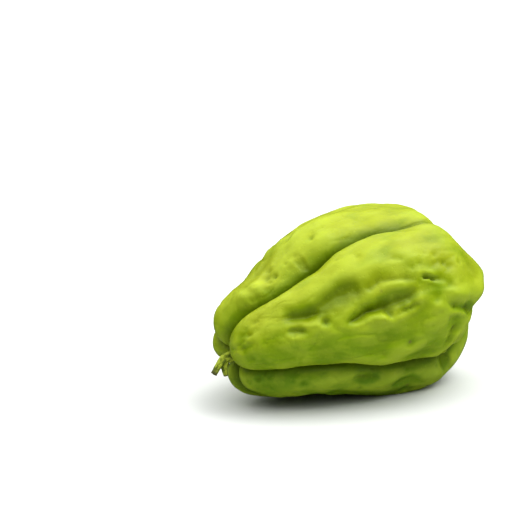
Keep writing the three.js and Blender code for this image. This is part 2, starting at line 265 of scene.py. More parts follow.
@dataclass(frozen=True)
class Lobe:
    """A lobe from one furrow to the next.

    Attributes:
        swell: How far its crest swells past the plain body, as a polynomial of the station.
        columns: The grid's columns across it.
        loose: How many loose wrinkles it has.
        shade: How much painted shade it carries, a darker and greener colour on the lower lobes.
    """

    swell: tuple[float, ...]
    columns: int
    loose: int
    shade: float


@dataclass(frozen=True)
class Swell:
    """A soft rise or hollow: rise times exp(-(distance / reach)^2)."""

    at: Place
    reach: float
    rise: float


@dataclass(frozen=True)
class Fold:
    """A fold or, with one point, a dimple: it follows a chain of places and runs out at both ends.

    Attributes:
        along: The places that it passes.
        depth: Its depth along the middle.
        width: Its half width.
        lip: How high the skin swells along it, to its depth.
        core: How deep its sharp middle line is, to its depth.
        skew: 1 where the side above is the wide one, 0 where both sides are alike.
    """

    along: tuple[Place, ...]
    depth: float
    width: float
    lip: float = 0.22
    core: float = 0.3
    skew: float = 1.0

    SHARPNESS = 1.4
    REACH = 4
    FADE_START = 0.25
    FADE_RATE = 3
    STEPS = 4
    CORE_SHARE = 0.3
    ABOVE = 1.45
    BELOW = 0.6
    NOUGHT = 1e-9
    NEAR = 1e-6

    def chain(self, body: Body) -> Array:
        """Give the places that the fold passes, each stretch in a few straight steps."""
        stations, angles = np.array(self.along).T
        share = np.linspace(0, len(self.along) - 1, (len(self.along) - 1) * self.STEPS + 1)
        whole = np.arange(len(self.along))
        return body.spot(np.interp(share, whole, stations), np.interp(share, whole, angles))

    def depth_at(self, points: Array, angle: Array, radius: Array, body: Body) -> Array:
        """Give the fold's depth at places.

        Across the fold it is exp(-(d / w)^sharpness) with d the distance to the chain, less a low swelling
        lip exp(-(d / w - 2)^2), plus a narrow core of the same form. The width w is greater above the fold
        than below it, by the share of d that runs round the body. Along it the depth rises from a share of
        itself at both ends.

        Args:
            points: Places on the plain body, as rows.
            angle: Their angles.
            radius: The plain body's radius there.
            body: The plain body.

        Returns:
            Depths, positive inwards.
        """
        chain = self.chain(body)
        depth = np.zeros(len(points))
        middle = chain.mean(axis=0)
        reach = np.linalg.norm(chain - middle, axis=1).max() + self.REACH * self.width
        near = np.flatnonzero(np.linalg.norm(points - middle, axis=1) < reach)
        places = points[near]
        nearest = np.linalg.norm(places - chain[0], axis=1)
        share = np.zeros(len(places))
        whole = np.linspace(0, 1, len(self.along)) if len(self.along) > 1 else np.zeros(1)
        for i, (start, end) in enumerate(zip(chain[:-1], chain[1:])):
            step = end - start
            square = step @ step
            if square < self.NOUGHT**2:
                continue
            t = np.clip((places - start) @ step / square, 0, 1)
            away = np.linalg.norm(places - start - t[:, None] * step, axis=1)
            closer = away < nearest
            share = np.where(closer, (i + t) / (len(chain) - 1), share)
            nearest = np.where(closer, away, nearest)
        turn = angle[near] - np.interp(share, whole, np.array(self.along)[:, 1])
        rise = radius[near] * np.radians((turn + 180) % 360 - 180) / np.maximum(nearest, self.NEAR)
        middle_width = (self.ABOVE + self.BELOW) / 2
        skew = self.skew * (self.ABOVE - self.BELOW) / 2
        across = nearest / (self.width * (middle_width + skew * np.clip(rise, -1, 1)))
        shape = np.exp(-(across**self.SHARPNESS)) - self.lip * np.exp(-((across - 2) ** 2))
        shape += self.core * np.exp(-((across / self.CORE_SHARE) ** self.SHARPNESS))
        fade = np.minimum(1, self.FADE_START + self.FADE_RATE * np.minimum(share, 1 - share))
        if len(chain) == 1:
            fade = 1
        depth[near] = np.where(across < self.REACH, self.depth * fade * shape, 0)
        return depth


def dimple(station: float, angle: float, depth: float, width: float) -> Fold:
    """Give a dimple, a fold of one point with a low lip and no core."""
    return Fold(((station, angle),), depth, width, lip=0.06, core=0.0)


def vale(along: tuple[Place, ...], depth: float, width: float) -> Fold:
    """Give a soft vale, a fold with neither lip nor core and with both sides alike."""
    return Fold(along, depth, width, lip=0.0, core=0.0, skew=0.0)


@dataclass(frozen=True)
class Pocks:
    """A rough place: small dimples scattered by seeded draws over a range of stations and of angles."""

    stations: Place
    angles: Place
    count: int

    DEPTHS = (0.0003, 0.0009)
    WIDTHS = (0.0007, 0.0015)

    def dimples(self, draws: Draws) -> list[Fold]:
        """Draw the place's dimples."""
        ranges = (self.stations, self.angles, self.DEPTHS, self.WIDTHS)
        return [dimple(*(draws.next(*limits) for limits in ranges)) for _ in range(self.count)]


@dataclass(frozen=True)
class Waves:
    """Seeded waves of one length, which lump the skin all over."""

    wave: float
    height: float
    count: int


class Grid(NamedTuple):
    """The skin's grid: places along and round it, and what each lobe gives there, as rows by columns."""

    phi: Array
    angle: Array
    v: Array
    low: Array
    high: Array
    swell: Array
    low_depth: Array
    high_depth: Array
    low_width: Array
    high_width: Array
    shade: Array


@dataclass
class Skin:
    """The fruit's skin, which replaces the plain solid."""

    body: Body = field(default_factory=Body)
    rows: int = 240
    middle_share: float = 0.25
    edge_share: float = 0.5
    settle: float = 0.0012
    furrow_foot: float = 0.0015
    furrow_sharpness: float = 1.2
    furrow_narrows: float = 0.4
    plumpness: float = 0.48
    seed: int = 20417
    furrows: tuple[Furrow, ...] = (
        Furrow(
            (-29.4, -19, 1, 8), (0.005, 0.0003), 0.0042, 0.002, 1.2, 0.4,
            bends=((-0.29, 0.12, 4), (-0.09, 0.05, -0.8), (0.16, 0.12, -2.6)),
        ),
        Furrow(
            (64.5, -4, -4, -19), (0.0038, -0.0034, -0.0012), 0.002, 0.0042, 0.8, 2.1,
            bends=((0.2, 0.13, 3.2), (-0.08, 0.22, 2.3), (-0.6, 0.14, -3.3)),
        ),
        Furrow((140, -2, 3, 0), (0.0044, 0.0003), 0.003, 0.0042, 1.5, 3.3),
        Furrow((204, -6, 2, -1), (0.0048, 0), 0.0036, 0.0036, 1.4, 5.2),
        Furrow((285, -15, -1, 0), (0.0042, 0), 0.0036, 0.003, 1.2, 1.3, bends=((-0.85, 0.3, -15),)),
    )
    lobes: tuple[Lobe, ...] = (
        # The last number of each lobe is its painted shade: a darker, greener colour on the lower lobes.
        Lobe((0.0042, 0.0028, 0.0024), 124, 0, 0.0),
        Lobe((0.0022, -0.0026, -0.0006), 86, 3, 0.0),
        Lobe((0.0009, -0.0005, 0.0005), 62, 9, 0.2),
        Lobe((-0.0016, -0.0012, 0.0016), 62, 9, 0.9),
        Lobe((0.0033, 0.0039, -0.0014), 72, 5, 0.8),
    )
    swells: tuple[Swell, ...] = (
        Swell((-0.5, 100), 0.016, -0.0026),
        Swell((-0.15, 105), 0.020, 0.0024),
        Swell((0.42, 95), 0.020, -0.002),
        Swell((0.84, 62), 0.017, -0.004),
        Swell((0.62, 60), 0.010, 0.0036),
        Swell((0.86, 28), 0.009, -0.001),
        Swell((0.74, -20), 0.013, -0.0045),
        Swell((0.86, -20), 0.009, -0.0045),
        Swell((0.71, -11), 0.006, -0.0026),
        Swell((0.75, 14), 0.007, -0.0014),
        Swell((0.71, 0), 0.006, 0.0026),
        Swell((-0.27, -47), 0.016, -0.0022),
        Swell((-0.62, -62), 0.012, 0.0012),
        Swell((0.48, -48), 0.012, 0.001),
        Swell((-0.3, 72), 0.009, -0.0022),
        Swell((-0.47, 72), 0.008, -0.0014),
        Swell((-0.71, 88), 0.0055, 0.0016),
        Swell((-0.62, 87), 0.0045, 0.001),
        Swell((-0.93, 100), 0.010, -0.0012),
        Swell((-0.9, 235), 0.012, -0.0025),
        Swell((-0.88, 275), 0.010, 0.003),
        Swell((-0.92, 20), 0.010, 0.0015),
    )
    folds: tuple[Fold, ...] = (
        Fold(((-0.64, 36.5), (-0.56, 32), (-0.5, 30.5), (-0.41, 29)), 0.0026, 0.0026),
        vale(((-0.42, 30.5), (-0.33, 33), (-0.2, 33.5), (-0.08, 31)), 0.0027, 0.0042),
        Fold(((-0.08, 29.5), (0, 31.5), (0.12, 28.5), (0.25, 24.5)), 0.0015, 0.0024, lip=0.12),
        Fold(((0.27, 25), (0.36, 21.3)), 0.0023, 0.0008),
        Fold(((0.34, 22), (0.44, 18.5)), 0.0007, 0.0016),
        Fold(((-0.17, 16.5), (-0.07, 15.8), (0.03, 16), (0.13, 16.5), (0.21, 19)), 0.0028, 0.0028),
        Fold(((-0.3, 15.5), (-0.22, 14.8), (-0.15, 16.5), (-0.07, 15.8)), 0.0022, 0.0018),
        Fold(((-0.05, 15.5), (0, 9.2)), 0.003, 0.0017),
        Fold(((0, 9.5), (0.08, 10.8), (0.2, 12)), 0.0016, 0.0016),
        Fold(((0.38, 6.5), (0.46, 3), (0.54, -1), (0.6, -5)), 0.002, 0.0018),
        Fold(((0.11, 41), (0.19, 38)), 0.0007, 0.0012),
        vale(((0.1, 39), (0.28, 32), (0.5, 25)), 0.001, 0.004),
        Fold(((-0.64, 24.5), (-0.58, 21), (-0.53, 19)), 0.0015, 0.002),
        Fold(((0.38, -24), (0.425, -14), (0.45, -8)), 0.0014, 0.0015),
        vale(((0.64, -38), (0.55, -33), (0.48, -29), (0.42, -31), (0.4, -38)), 0.0032, 0.0017),
        vale(((0.45, -46), (0.51, -44.5), (0.58, -43.5)), 0.0038, 0.0032),
    )
    mouth: Fold = Fold(
        ((0.58, -5), (0.8, -7), (1, -7), (1, 172), (0.9, 172), (0.72, 176)), 0.0045, 0.0026
    )
    dimples: tuple[Fold, ...] = (
        dimple(-0.42, 20.5, 0.0022, 0.0013),
        dimple(-0.08, 30.5, 0.0012, 0.0013),
        dimple(-0.06, 51, 0.0009, 0.0015),
        dimple(-0.17, 57, 0.0008, 0.0018),
        dimple(0.48, 24.5, 0.0008, 0.0026),
        dimple(0.44, 15.8, 0.0013, 0.002),
        dimple(0.31, 10, 0.0012, 0.0019),
        dimple(0.1, -11, 0.0013, 0.0022),
        dimple(-0.09, -14, 0.001, 0.0019),
        dimple(-0.165, 84.5, 0.0012, 0.0013),
        dimple(-0.49, 91, 0.0012, 0.0015),
        dimple(-0.76, 49.5, 0.0006, 0.0014),
        dimple(-0.85, 44, 0.0009, 0.0016),
        dimple(-0.82, 39, 0.0006, 0.0012),
        dimple(-0.81, -27, 0.0008, 0.0014),
        dimple(-0.63, -27, 0.0012, 0.0016),
        dimple(-0.57, -35, 0.0014, 0.0016),
    )
    fine_swells: tuple[Swell, ...] = (
        Swell((-0.09, 10.8), 0.0034, 0.0015),
        Swell((0.303, 8), 0.0026, 0.0009),
        Swell((-0.711, 87.4), 0.003, 0.001),
        Swell((-0.627, 85.1), 0.0024, 0.0009),
        Swell((-0.644, 40.1), 0.0022, 0.0007),
        Swell((0.11, 13.8), 0.0025, 0.0012),
        Swell((0.2, 14.3), 0.003, 0.0011),
        Swell((0.341, -1.7), 0.004, 0.0006),
    )
    fine_vales: tuple[Fold, ...] = (
        vale(
            ((-0.62, 35.5), (-0.52, 32.5), (-0.43, 31.5), (-0.34, 33.3), (-0.24, 36.5), (-0.125, 37)),
            0.0015, 0.0047,
        ),
        vale(((-0.15, 17.5), (0, 18), (0.12, 18.5)), 0.0007, 0.0035),
        vale(((-0.36, 77), (-0.28, 76)), 0.0012, 0.004),
        Fold(((0.2, 62.8), (0.33, 57), (0.45, 52.8)), 0.0011, 0.0009, lip=0.1),
    )
    pocks: tuple[Pocks, ...] = (
        Pocks((-0.7, -0.3), (71, 86), 22),
        Pocks((-0.94, -0.76), (5, 52), 14),
        Pocks((0.38, 0.62), (-25, -4), 10),
        Pocks((-0.9, -0.5), (-50, -28), 12),
        Pocks((0.1, 0.6), (20, 34), 8),
        Pocks((-0.3, 0.7), (120, 330), 30),
    )
    lumps: tuple[Waves, ...] = (
        Waves(0.034, 0.0005, 5),
        Waves(0.015, 0.0002, 7),
        Waves(0.008, 0.00007, 9),
    )
    lump_stretch: float = 0.6
    warp: float = 0.0009
    warp_size: float = 0.008
    crepe: float = 0.00032
    crepe_size: float = 0.0042
    crepe_stretch: float = 4.0
    crepe_line: float = 0.10
    crepe_reach: float = 0.005
    pebble: float = 0.00016
    pebble_size: float = 0.003

    LOOSE_START, LOOSE_LENGTH = (-0.75, 0.7), (0.08, 0.32)
    LOOSE_ACROSS, LOOSE_DRIFT = (0.2, 0.8), (-7, 7)
    LOOSE_DEPTH, LOOSE_WIDTH = (0.0007, 0.0019), (0.0017, 0.003)
    # How much the loose folds count in the painted shade of hollows.
    LOOSE_SHADE_SHARE = 0.15
    PATCH_SIZE, PATCH_STRETCH, PATCH_GAIN = 0.016, 1.5, 2.5
    PEBBLE_STRETCH, FINE_PEBBLE_STRETCH = 2.6, 2.2
    FINE_SHARE = 0.5
    # Blurs, reaches and levels of the masks for painted light and shade.
    STEP_BLUR, SUNK_BLUR, FACING_BLUR, SHADE_BLUR = 9, 22, 3, 1
    FURROW_REACH, SHELTER_REACH = 0.0035, 0.009
    STEP_HOLLOW, STEP_RIDGE = 0.0018, 0.0008
    HOLLOW_FROM, HOLLOW_SPAN = 0.0005, 0.002
    SHELTER_FROM, SHELTER_SPAN = 0.0006, 0.0026

    def loose_folds(self) -> list[Fold]:
        """Draw the wrinkles of the lobes that the list of folds doesn't reach, lobe by lobe.

        Returns:
            Folds that run lengthwise from a seeded start, with a drift to one side.
        """
        draws = Draws(self.seed)
        made = []
        for index, lobe in enumerate(self.lobes):
            for _ in range(lobe.loose):
                start = draws.next(*self.LOOSE_START)
                end = min(start + draws.next(*self.LOOSE_LENGTH), 1)
                across = draws.next(*self.LOOSE_ACROSS)
                drift = draws.next(*self.LOOSE_DRIFT)
                stations = np.array([start, (start + end) / 2, end])
                low, high = self.edges(index, stations)
                angles = low + (high - low) * across + drift * np.array([0, 1, 0.5])
                depth, width = draws.next(*self.LOOSE_DEPTH), draws.next(*self.LOOSE_WIDTH)
                made.append(Fold(tuple(zip(stations, angles)), depth, width))
        return made

    def edges(self, index: int, station: Array) -> tuple[Array, Array]:
        """Give the angles of a lobe's two furrows, the second one a turn on where the lobe is the last."""
        low = self.furrows[index].at(station)
        turn = 360 if index + 1 == len(self.furrows) else 0
        return low, self.furrows[(index + 1) % len(self.furrows)].at(station) + turn

    def grid(self) -> Grid:
        """Lay out the grid, with rows closer together towards the middle and columns towards the furrows.

        The share is v = q - e sin(2 pi q) / (2 pi) with q even steps across the lobe, and
        phi = pi t + m / 2 sin(2 pi t) with t even steps along the fruit.

        Returns:
            The grid, without the two end points.
        """
        t = np.linspace(0, 1, self.rows + 1)[1:-1, None]
        phi = np.pi * t + self.middle_share / 2 * np.sin(2 * np.pi * t)
        station = self.body.profile(phi).station
        parts = []
        for index, lobe in enumerate(self.lobes):
            q = np.arange(lobe.columns)[None, :] / lobe.columns
            v = q - self.edge_share * np.sin(2 * np.pi * q) / (2 * np.pi)
            low, high = self.edges(index, station)
            following = self.furrows[(index + 1) % len(self.furrows)]
            own = self.furrows[index]
            columns = [
                phi, low + (high - low) * v, v, low, high, polynomial(lobe.swell, station),
                polynomial(own.depth, station), polynomial(following.depth, station),
                own.above, following.below, lobe.shade,
            ]
            shape = (len(phi), lobe.columns)
            parts.append([np.broadcast_to(np.asarray(column, float), shape) for column in columns])
        return Grid(*(np.concatenate(column, axis=1) for column in zip(*parts)))

    def relief(self, grid: Grid) -> tuple[Array, Array, Array]:
        """Work out how far the skin stands off the plain body.

        The solid's formula comes first: each lobe's swell times an arch sin(pi v)^plumpness, the furrows
        as exp(-(distance / width)^sharpness), the soft swells, the folds and the lumps. The fine swells, the
        fine vales and the pocks are the scene's own. The folds are read at places warped a little by noise,
        so that they wander. Crepe and pebbles come last.

        Args:
            grid: Where to work it out.

        Returns:
            The heights, the distances to the nearest furrow, and how deep the folds are for the painted shade
            in hollows, where loose ones count for less.
        """
        outline = self.body.profile(grid.phi)
        place = self.body.raised(grid.phi, grid.angle, 0.0)
        arch = np.sin(np.pi * grid.v) ** self.plumpness
        height = grid.swell * arch * np.sqrt(outline.s) - self.furrow_foot * (1 - arch) * outline.s
        nearest = np.full(height.shape, np.inf)
        narrows = self.furrow_narrows + (1 - self.furrow_narrows) * outline.s
        for edge, depth, width in (
            (grid.low, grid.low_depth, grid.low_width),
            (grid.high, grid.high_depth, grid.high_width),
        ):
            away = outline.radius * np.abs(np.radians(grid.angle - edge))
            height = height - depth * np.exp(-((away / (width * narrows)) ** self.furrow_sharpness))
            nearest = np.minimum(nearest, away)
        for swell in self.swells + self.fine_swells:
            distance = np.linalg.norm(place - self.body.spot(*swell.at), axis=-1)
            height += swell.rise * np.exp(-((distance / swell.reach) ** 2))
        height += outline.s * self.lumped(place)
        warp = [Grain(self.seed + 10 + axis, self.warp_size).at(place) for axis in range(3)]
        warped = (place + self.warp * np.stack(warp, axis=-1)).reshape(-1, 3)
        spread = np.broadcast_to(outline.radius, height.shape).ravel()
        draws = Draws(self.seed + 2)
        pocks = [pock for rough in self.pocks for pock in rough.dimples(draws)]
        folded, loose = np.zeros(height.size), np.zeros(height.size)
        for total, folds in (
            (folded, self.folds + (self.mouth,) + self.dimples + self.fine_vales),
            (loose, [*self.loose_folds(), *pocks]),
        ):
            for fold in folds:
                total += fold.depth_at(warped, grid.angle.ravel(), spread, self.body)
        folded, loose = folded.reshape(height.shape), loose.reshape(height.shape)
        height = height - folded - loose - outline.s * self.creped(place, nearest)
        return height, nearest, folded + self.LOOSE_SHADE_SHARE * loose

    def lumped(self, place: Array) -> Array:
        """Add up seeded plane waves, longer along the fruit than round it."""
        draws = Draws(self.seed + 1)
        total = np.zeros(place.shape[:-1])
        for waves in self.lumps:
            for _ in range(waves.count):
                turn = 2 * math.pi * draws.next()
                lift = draws.next(-1, 1)
                level = math.sqrt(1 - lift * lift)
                way = np.array([self.lump_stretch * level * math.cos(turn), level * math.sin(turn), lift])
                phase = 2 * math.pi * draws.next()
                total += waves.height * np.sin(place @ way * (2 * math.pi / waves.wave) + phase)
        return total

    def creped(self, place: Array, nearest: Array) -> Array:
        """Give the depth of the crepe and the pebbling.

        The crepe is exp(-(noise / line)^2), thin grooves where a noise that is stretched lengthwise passes
        through nought, in patches that a wider noise picks and close to the furrows. The pebbling is plain
        noise.

        Args:
            place: Places on the plain body.
            nearest: Their distances to the nearest furrow.

        Returns:
            Depths, positive inwards.
        """
        noise = Grain(self.seed + 20, self.crepe_size, self.crepe_stretch).at(place)
        finer = Grain(self.seed + 21, self.crepe_size / 2, self.crepe_stretch / 1.5).at(place)
        patches = Grain(self.seed + 22, self.PATCH_SIZE, self.PATCH_STRETCH).at(place)
        patches = np.clip(patches * self.PATCH_GAIN + 0.5, 0, 1)
        patches = np.maximum(patches, np.exp(-((nearest / self.crepe_reach) ** 2)))
        lines = np.exp(-((noise / self.crepe_line) ** 2))
        lines += self.FINE_SHARE * np.exp(-((finer / self.crepe_line) ** 2))
        pebbles = Grain(self.seed + 23, self.pebble_size, self.PEBBLE_STRETCH).at(place)
        finer = Grain(self.seed + 24, self.pebble_size / 2, self.FINE_PEBBLE_STRETCH).at(place)
        pebbles += self.FINE_SHARE * finer
        return self.crepe * patches * lines + self.pebble * pebbles

    def surface(self) -> tuple[Array, Array, dict[Mask, Array]]:
        """Work out the skin in the fruit's own place, tipped down towards the stem.

        A place is a ridge or a hollow by its step above or below its near surroundings, and a hollow also
        by its fold's depth; ridges get a painted highlight and hollows painted shade. Painted shade also goes
        where a place lies low in wider surroundings beside a furrow, under an overhanging lobe. Painted light
        makes the skin yellower by how far it faces up.

        Returns:
            The grid's places, both end points, and the masks.
        """
        grid = self.grid()
        height, nearest, folded = self.relief(grid)
        points = self.body.raised(grid.phi, grid.angle, height)
        ends = np.stack([points[0].mean(axis=0), points[-1].mean(axis=0)])
        step = height - blurred(height, self.STEP_BLUR)
        sunk = blurred(height, self.SUNK_BLUR) - height
        outline = self.body.profile(grid.phi)
        placed = turned(points, self.body.nose_down)
        facing = np.cross(np.gradient(placed, axis=0), np.gradient(placed, axis=1))
        facing = facing[..., 2] / np.linalg.norm(facing, axis=-1)
        hollow = np.maximum(-step / self.STEP_HOLLOW, (folded - self.HOLLOW_FROM) / self.HOLLOW_SPAN)
        beside = outline.s * np.exp(-((nearest / self.SHELTER_REACH) ** 2))
        masks = {
            # painted light: more of it where the skin faces up
            Mask.PAINTED_LIGHT: 0.5 + 0.5 * blurred(facing, self.FACING_BLUR),
            # painted shade in the furrows
            Mask.FURROW_SHADE: np.exp(-((nearest / self.FURROW_REACH) ** 2)),
            # painted shade in hollows and folds
            Mask.HOLLOW_SHADE: np.clip(hollow, 0, 1),
            # painted highlight on ridges
            Mask.RIDGE_HIGHLIGHT: np.clip(step / self.STEP_RIDGE, 0, 1),
            # painted shade on the lower lobes
            Mask.PAINTED_SHADE: blurred(grid.shade, self.SHADE_BLUR),
            # painted shade low beside a furrow, under an overhanging lobe
            Mask.SHELTER_SHADE: np.clip((sunk - self.SHELTER_FROM) / self.SHELTER_SPAN, 0, 1) * beside,
        }
        return placed, turned(ends, self.body.nose_down), masks


def blurred(values: Array, reach: int) -> Array:
    """Average a grid over squares of 2 reach + 1 steps a side, twice over.

    Args:
        values: Rows by columns. The columns go all the way round.
        reach: Steps to each side.

    Returns:
        The averages.
    """
    for _ in range(2):
        rows = np.pad(values, ((reach, reach), (0, 0)), mode="edge")
        sums = np.cumsum(np.vstack([np.zeros((1, rows.shape[1])), rows]), axis=0)
        values = (sums[2 * reach + 1 :] - sums[: -2 * reach - 1]) / (2 * reach + 1)
        columns = np.pad(values, ((0, 0), (reach, reach)), mode="wrap")
        sums = np.cumsum(np.hstack([np.zeros((columns.shape[0], 1)), columns]), axis=1)
        values = (sums[:, 2 * reach + 1 :] - sums[:, : -2 * reach - 1]) / (2 * reach + 1)
    return values


def closed_mesh(name: str, points: Array, ends: Array, masks: dict[Mask, Array]) -> bpy.types.Object:
    """Make a smooth closed mesh from rings of places, with a point at each end.

    Args:
        name: The object's name.
        points: Rings by places by X, Y and Z. Seen along the way that the rings go, each turns anticlockwise.
        ends: The two end points.
        masks: Values for each place of the rings. An end point gets the mean of its ring.

    Returns:
        The new object, linked to the scene.
    """
    rings, around = points.shape[:2]
    index = 1 + np.arange(rings * around).reshape(rings, around)
    following = np.roll(index, -1, axis=1)
    quads = np.stack([index[:-1], index[1:], following[1:], following[:-1]], axis=-1).reshape(-1, 4)
    last = rings * around + 1
    caps = [
        np.stack([np.zeros(around, int), index[0], following[0]], axis=-1),
        np.stack([np.full(around, last), following[-1], index[-1]], axis=-1),
    ]
    places = np.vstack([ends[:1], points.reshape(-1, 3), ends[1:]])
    mesh = bpy.data.meshes.new(name)
    mesh.from_pydata(places.tolist(), [], quads.tolist() + np.vstack(caps).tolist())
    mesh.polygons.foreach_set("use_smooth", np.ones(len(mesh.polygons), bool))
    for mask, values in masks.items():
        attribute = mesh.attributes.new(mask.value, "FLOAT", "POINT")
        flat = np.concatenate([[values[0].mean()], values.ravel(), [values[-1].mean()]])
        attribute.data.foreach_set("value", flat.astype(np.float32))
    mesh.update()
    made = bpy.data.objects.new(name, mesh)
    bpy.context.scene.collection.objects.link(made)
    return made


class Fruit:
    """The whole fruit in its place on the floor."""

    def __init__(self, skin: Skin) -> None:
        """Keep the skin's sizes."""
        self.skin = skin

    def build(self) -> tuple[bpy.types.Object, Vector]:
        """Make the fruit's piece inside the solid's box.

        The finer grid may reach a hair further than the solid does, and is then scaled down to the box's
        size. Places below the floor are pressed flat on it.

        Returns:
            The piece, and the way from the fruit's own place to the frame's.
        """
        low, high = (np.array(corner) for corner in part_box("fruit"))
        points, ends, masks = self.skin.surface()
        flat = points.reshape(-1, 3)
        least, most = flat.min(axis=0), flat.max(axis=0)
        least[2] += self.skin.settle
        scale = np.minimum((high - low) / (most - least), 1)
        shift = (low + high) / 2 - (least + most) / 2 * scale
        shift[2] = low[2] - least[2] * scale[2]
        placed = points * scale + shift
        placed[..., 2] = np.maximum(placed[..., 2], 0)
        LOG.info("fruit fitted by %s", scale.round(5))
        return closed_mesh("chayote_skin", placed, ends * scale + shift, masks), Vector(shift)


@dataclass
class Tube:
    """A ridged tube along a smooth route of a few points, thick and thin as its radii say."""

    route: tuple[tuple[float, float, float], ...]
    radii: tuple[float, ...]
    ridges: int = 5
    ridge_height: float = 0.14
    steps: int = 120
    sides: int = 90
    fibres: int = 23
    fibre_height: float = 0.045
    seed: int = 31

    SLOPE_STEP = 1e-4
    UNEVEN_RATE, UNEVEN_SPREAD, UNEVENNESS, FIBRE_WANDER = 9, 1.6, 0.07, 3
    DRY_FROM, DRY_SPAN = 0.78, 0.18
    DISH = ((0.93, -0.02), (0.8, 0.05), (0.6, 0.12), (0.35, 0.16), (0.12, 0.17))

    def route_points(self, share: Array) -> Array:
        """Pass a centripetal Catmull-Rom curve through the route.

        Between two points it is a cubic whose slopes weigh its neighbours by the square roots of their
        distances.

        Args:
            share: Places along the route, from 0 to 1.

        Returns:
            Places in space.
        """
        points = np.array(self.route)
        points = np.vstack([2 * points[0] - points[1], points, 2 * points[-1] - points[-2]])
        place = share * (len(self.route) - 1)
        start = np.minimum(place.astype(int), len(self.route) - 2)
        t = (place - start)[:, None]
        p0, p1, p2, p3 = (points[start + k] for k in range(4))
        d0, d1, d2 = (
            np.sqrt(np.linalg.norm(b - a, axis=1, keepdims=True)) for a, b in ((p0, p1), (p1, p2), (p2, p3))
        )
        m1 = ((p1 - p0) / d0 - (p2 - p0) / (d0 + d1) + (p2 - p1) / d1) * d1
        m2 = ((p2 - p1) / d1 - (p3 - p1) / (d1 + d2) + (p3 - p2) / d2) * d1
        return (
            p1 + m1 * t + (3 * (p2 - p1) - 2 * m1 - m2) * t**2 + (2 * (p1 - p2) + m1 + m2) * t**3
        )

    def frames(self, share: Array) -> tuple[Array, Array, Array]:
        """Carry a pair of normals along the route without twist.

        Args:
            share: Places along the route, from 0 to 1.

        Returns:
            The tangents, the normals and the binormals.
        """
        ahead = self.route_points(np.minimum(share + self.SLOPE_STEP, 1))
        tangents = ahead - self.route_points(np.maximum(share - self.SLOPE_STEP, 0))
        tangents /= np.linalg.norm(tangents, axis=1, keepdims=True)
        axis = np.eye(3)[np.argmin(np.abs(tangents[0]))]
        side = np.cross(tangents[0], axis)
        normal = np.cross(tangents[0], side / np.linalg.norm(side))
        normals = []
        for tangent in tangents:
            normal = normal - tangent * (normal @ tangent)
            normal /= np.linalg.norm(normal)
            normals.append(normal)
        normals = np.array(normals)
        return tangents, normals, np.cross(tangents, normals)

    def surface(self) -> tuple[Array, Array, dict[Mask, Array]]:
        """Work out the tube with its cut end.

        The radius is the list's value there times 1 + ridge cos(n turn) + fibre cos(m turn), with a seeded
        unevenness. At the cut the last rings close inwards to a shallow dish.

        Returns:
            The rings, both end points, and the masks.
        """
        share = np.linspace(0, 1, self.steps)
        tangents, normals, binormals = self.frames(share)
        centres = self.route_points(share)
        plain = np.interp(share * (len(self.radii) - 1), np.arange(len(self.radii)), self.radii)
        turn = np.linspace(0, 2 * math.pi, self.sides, endpoint=False)[None, :]
        across, up = self.UNEVEN_SPREAD * np.cos(turn), self.UNEVEN_SPREAD * np.sin(turn)
        spots = np.stack(np.broadcast_arrays(share[:, None] * self.UNEVEN_RATE, across, up), -1)
        uneven = Grain(self.seed, 1.0).at(spots)
        form = 1 + self.ridge_height * np.cos(self.ridges * turn) + self.UNEVENNESS * uneven
        form += self.fibre_height * np.cos(self.fibres * turn + self.FIBRE_WANDER * uneven)
        radius = plain[:, None] * form
        rings = self.around(centres, normals, binormals, radius, turn)
        dried = np.clip((share - self.DRY_FROM) / self.DRY_SPAN, 0, 1)
        cut = np.broadcast_to(dried[:, None] ** 2, radius.shape)
        faces = []
        for size, sink in self.DISH:
            centre = centres[-1:] - tangents[-1:] * plain[-1] * sink
            faces.append(self.around(centre, normals[-1:], binormals[-1:], radius[-1:] * size, turn))
        points = np.concatenate([rings, *faces])
        masks = {Mask.CUT: np.vstack([cut, np.ones((len(faces), self.sides))])}
        dished = plain[-1] * self.DISH[-1][1]
        ends = np.stack([centres[0] - tangents[0] * self.SLOPE_STEP, centres[-1] - tangents[-1] * dished])
        return points, ends, masks

    @staticmethod
    def around(centres: Array, normals: Array, binormals: Array, radius: Array, turn: Array) -> Array:
        """Set rings of places round centres, turning from the normal away from the binormal."""
        out = normals[:, None, :] * np.cos(turn)[..., None] - binormals[:, None, :] * np.sin(turn)[..., None]
        return centres[:, None, :] + out * radius[..., None]


@dataclass
class Stem:
    """The cut stem and the small spur on its underside, standing on the pit's floor."""

    body: Body = field(default_factory=Body)
    stalk: Tube = field(
        default_factory=lambda: Tube(
            route=(
                (0.004, 0, 0), (0, 0, 0), (-0.0035, 0, 0), (-0.0075, -0.0006, -0.0018),
                (-0.0105, -0.001, -0.0042),
            ),
            radii=(0.002, 0.0023, 0.0019, 0.0013, 0.0012),
        )
    )
    spur: Tube = field(
        default_factory=lambda: Tube(
            route=((-0.003, -0.0002, -0.001), (-0.0052, -0.0014, -0.0036), (-0.0054, -0.0022, -0.0066)),
            radii=(0.0014, 0.0012, 0.0008),
            steps=60,
            sides=60,
            fibres=13,
            seed=32,
        )
    )

    def build(self, shift: Vector) -> bpy.types.Object:
        """Make the stem's piece.

        Args:
            shift: The way from the fruit's own place to the frame's.

        Returns:
            The stalk and its spur as one piece.
        """
        floor = self.body.spot(-1.0, 0.0)
        made = []
        for tube in (self.stalk, self.spur):
            points, ends, masks = tube.surface()
            points, ends = (
                turned(part + floor, self.body.nose_down) + np.array(shift) for part in (points, ends)
            )
            made.append(closed_mesh("stem_part", points, ends, masks))
        low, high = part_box("stem")
        return joined(made, "chayote_stem", low, high)


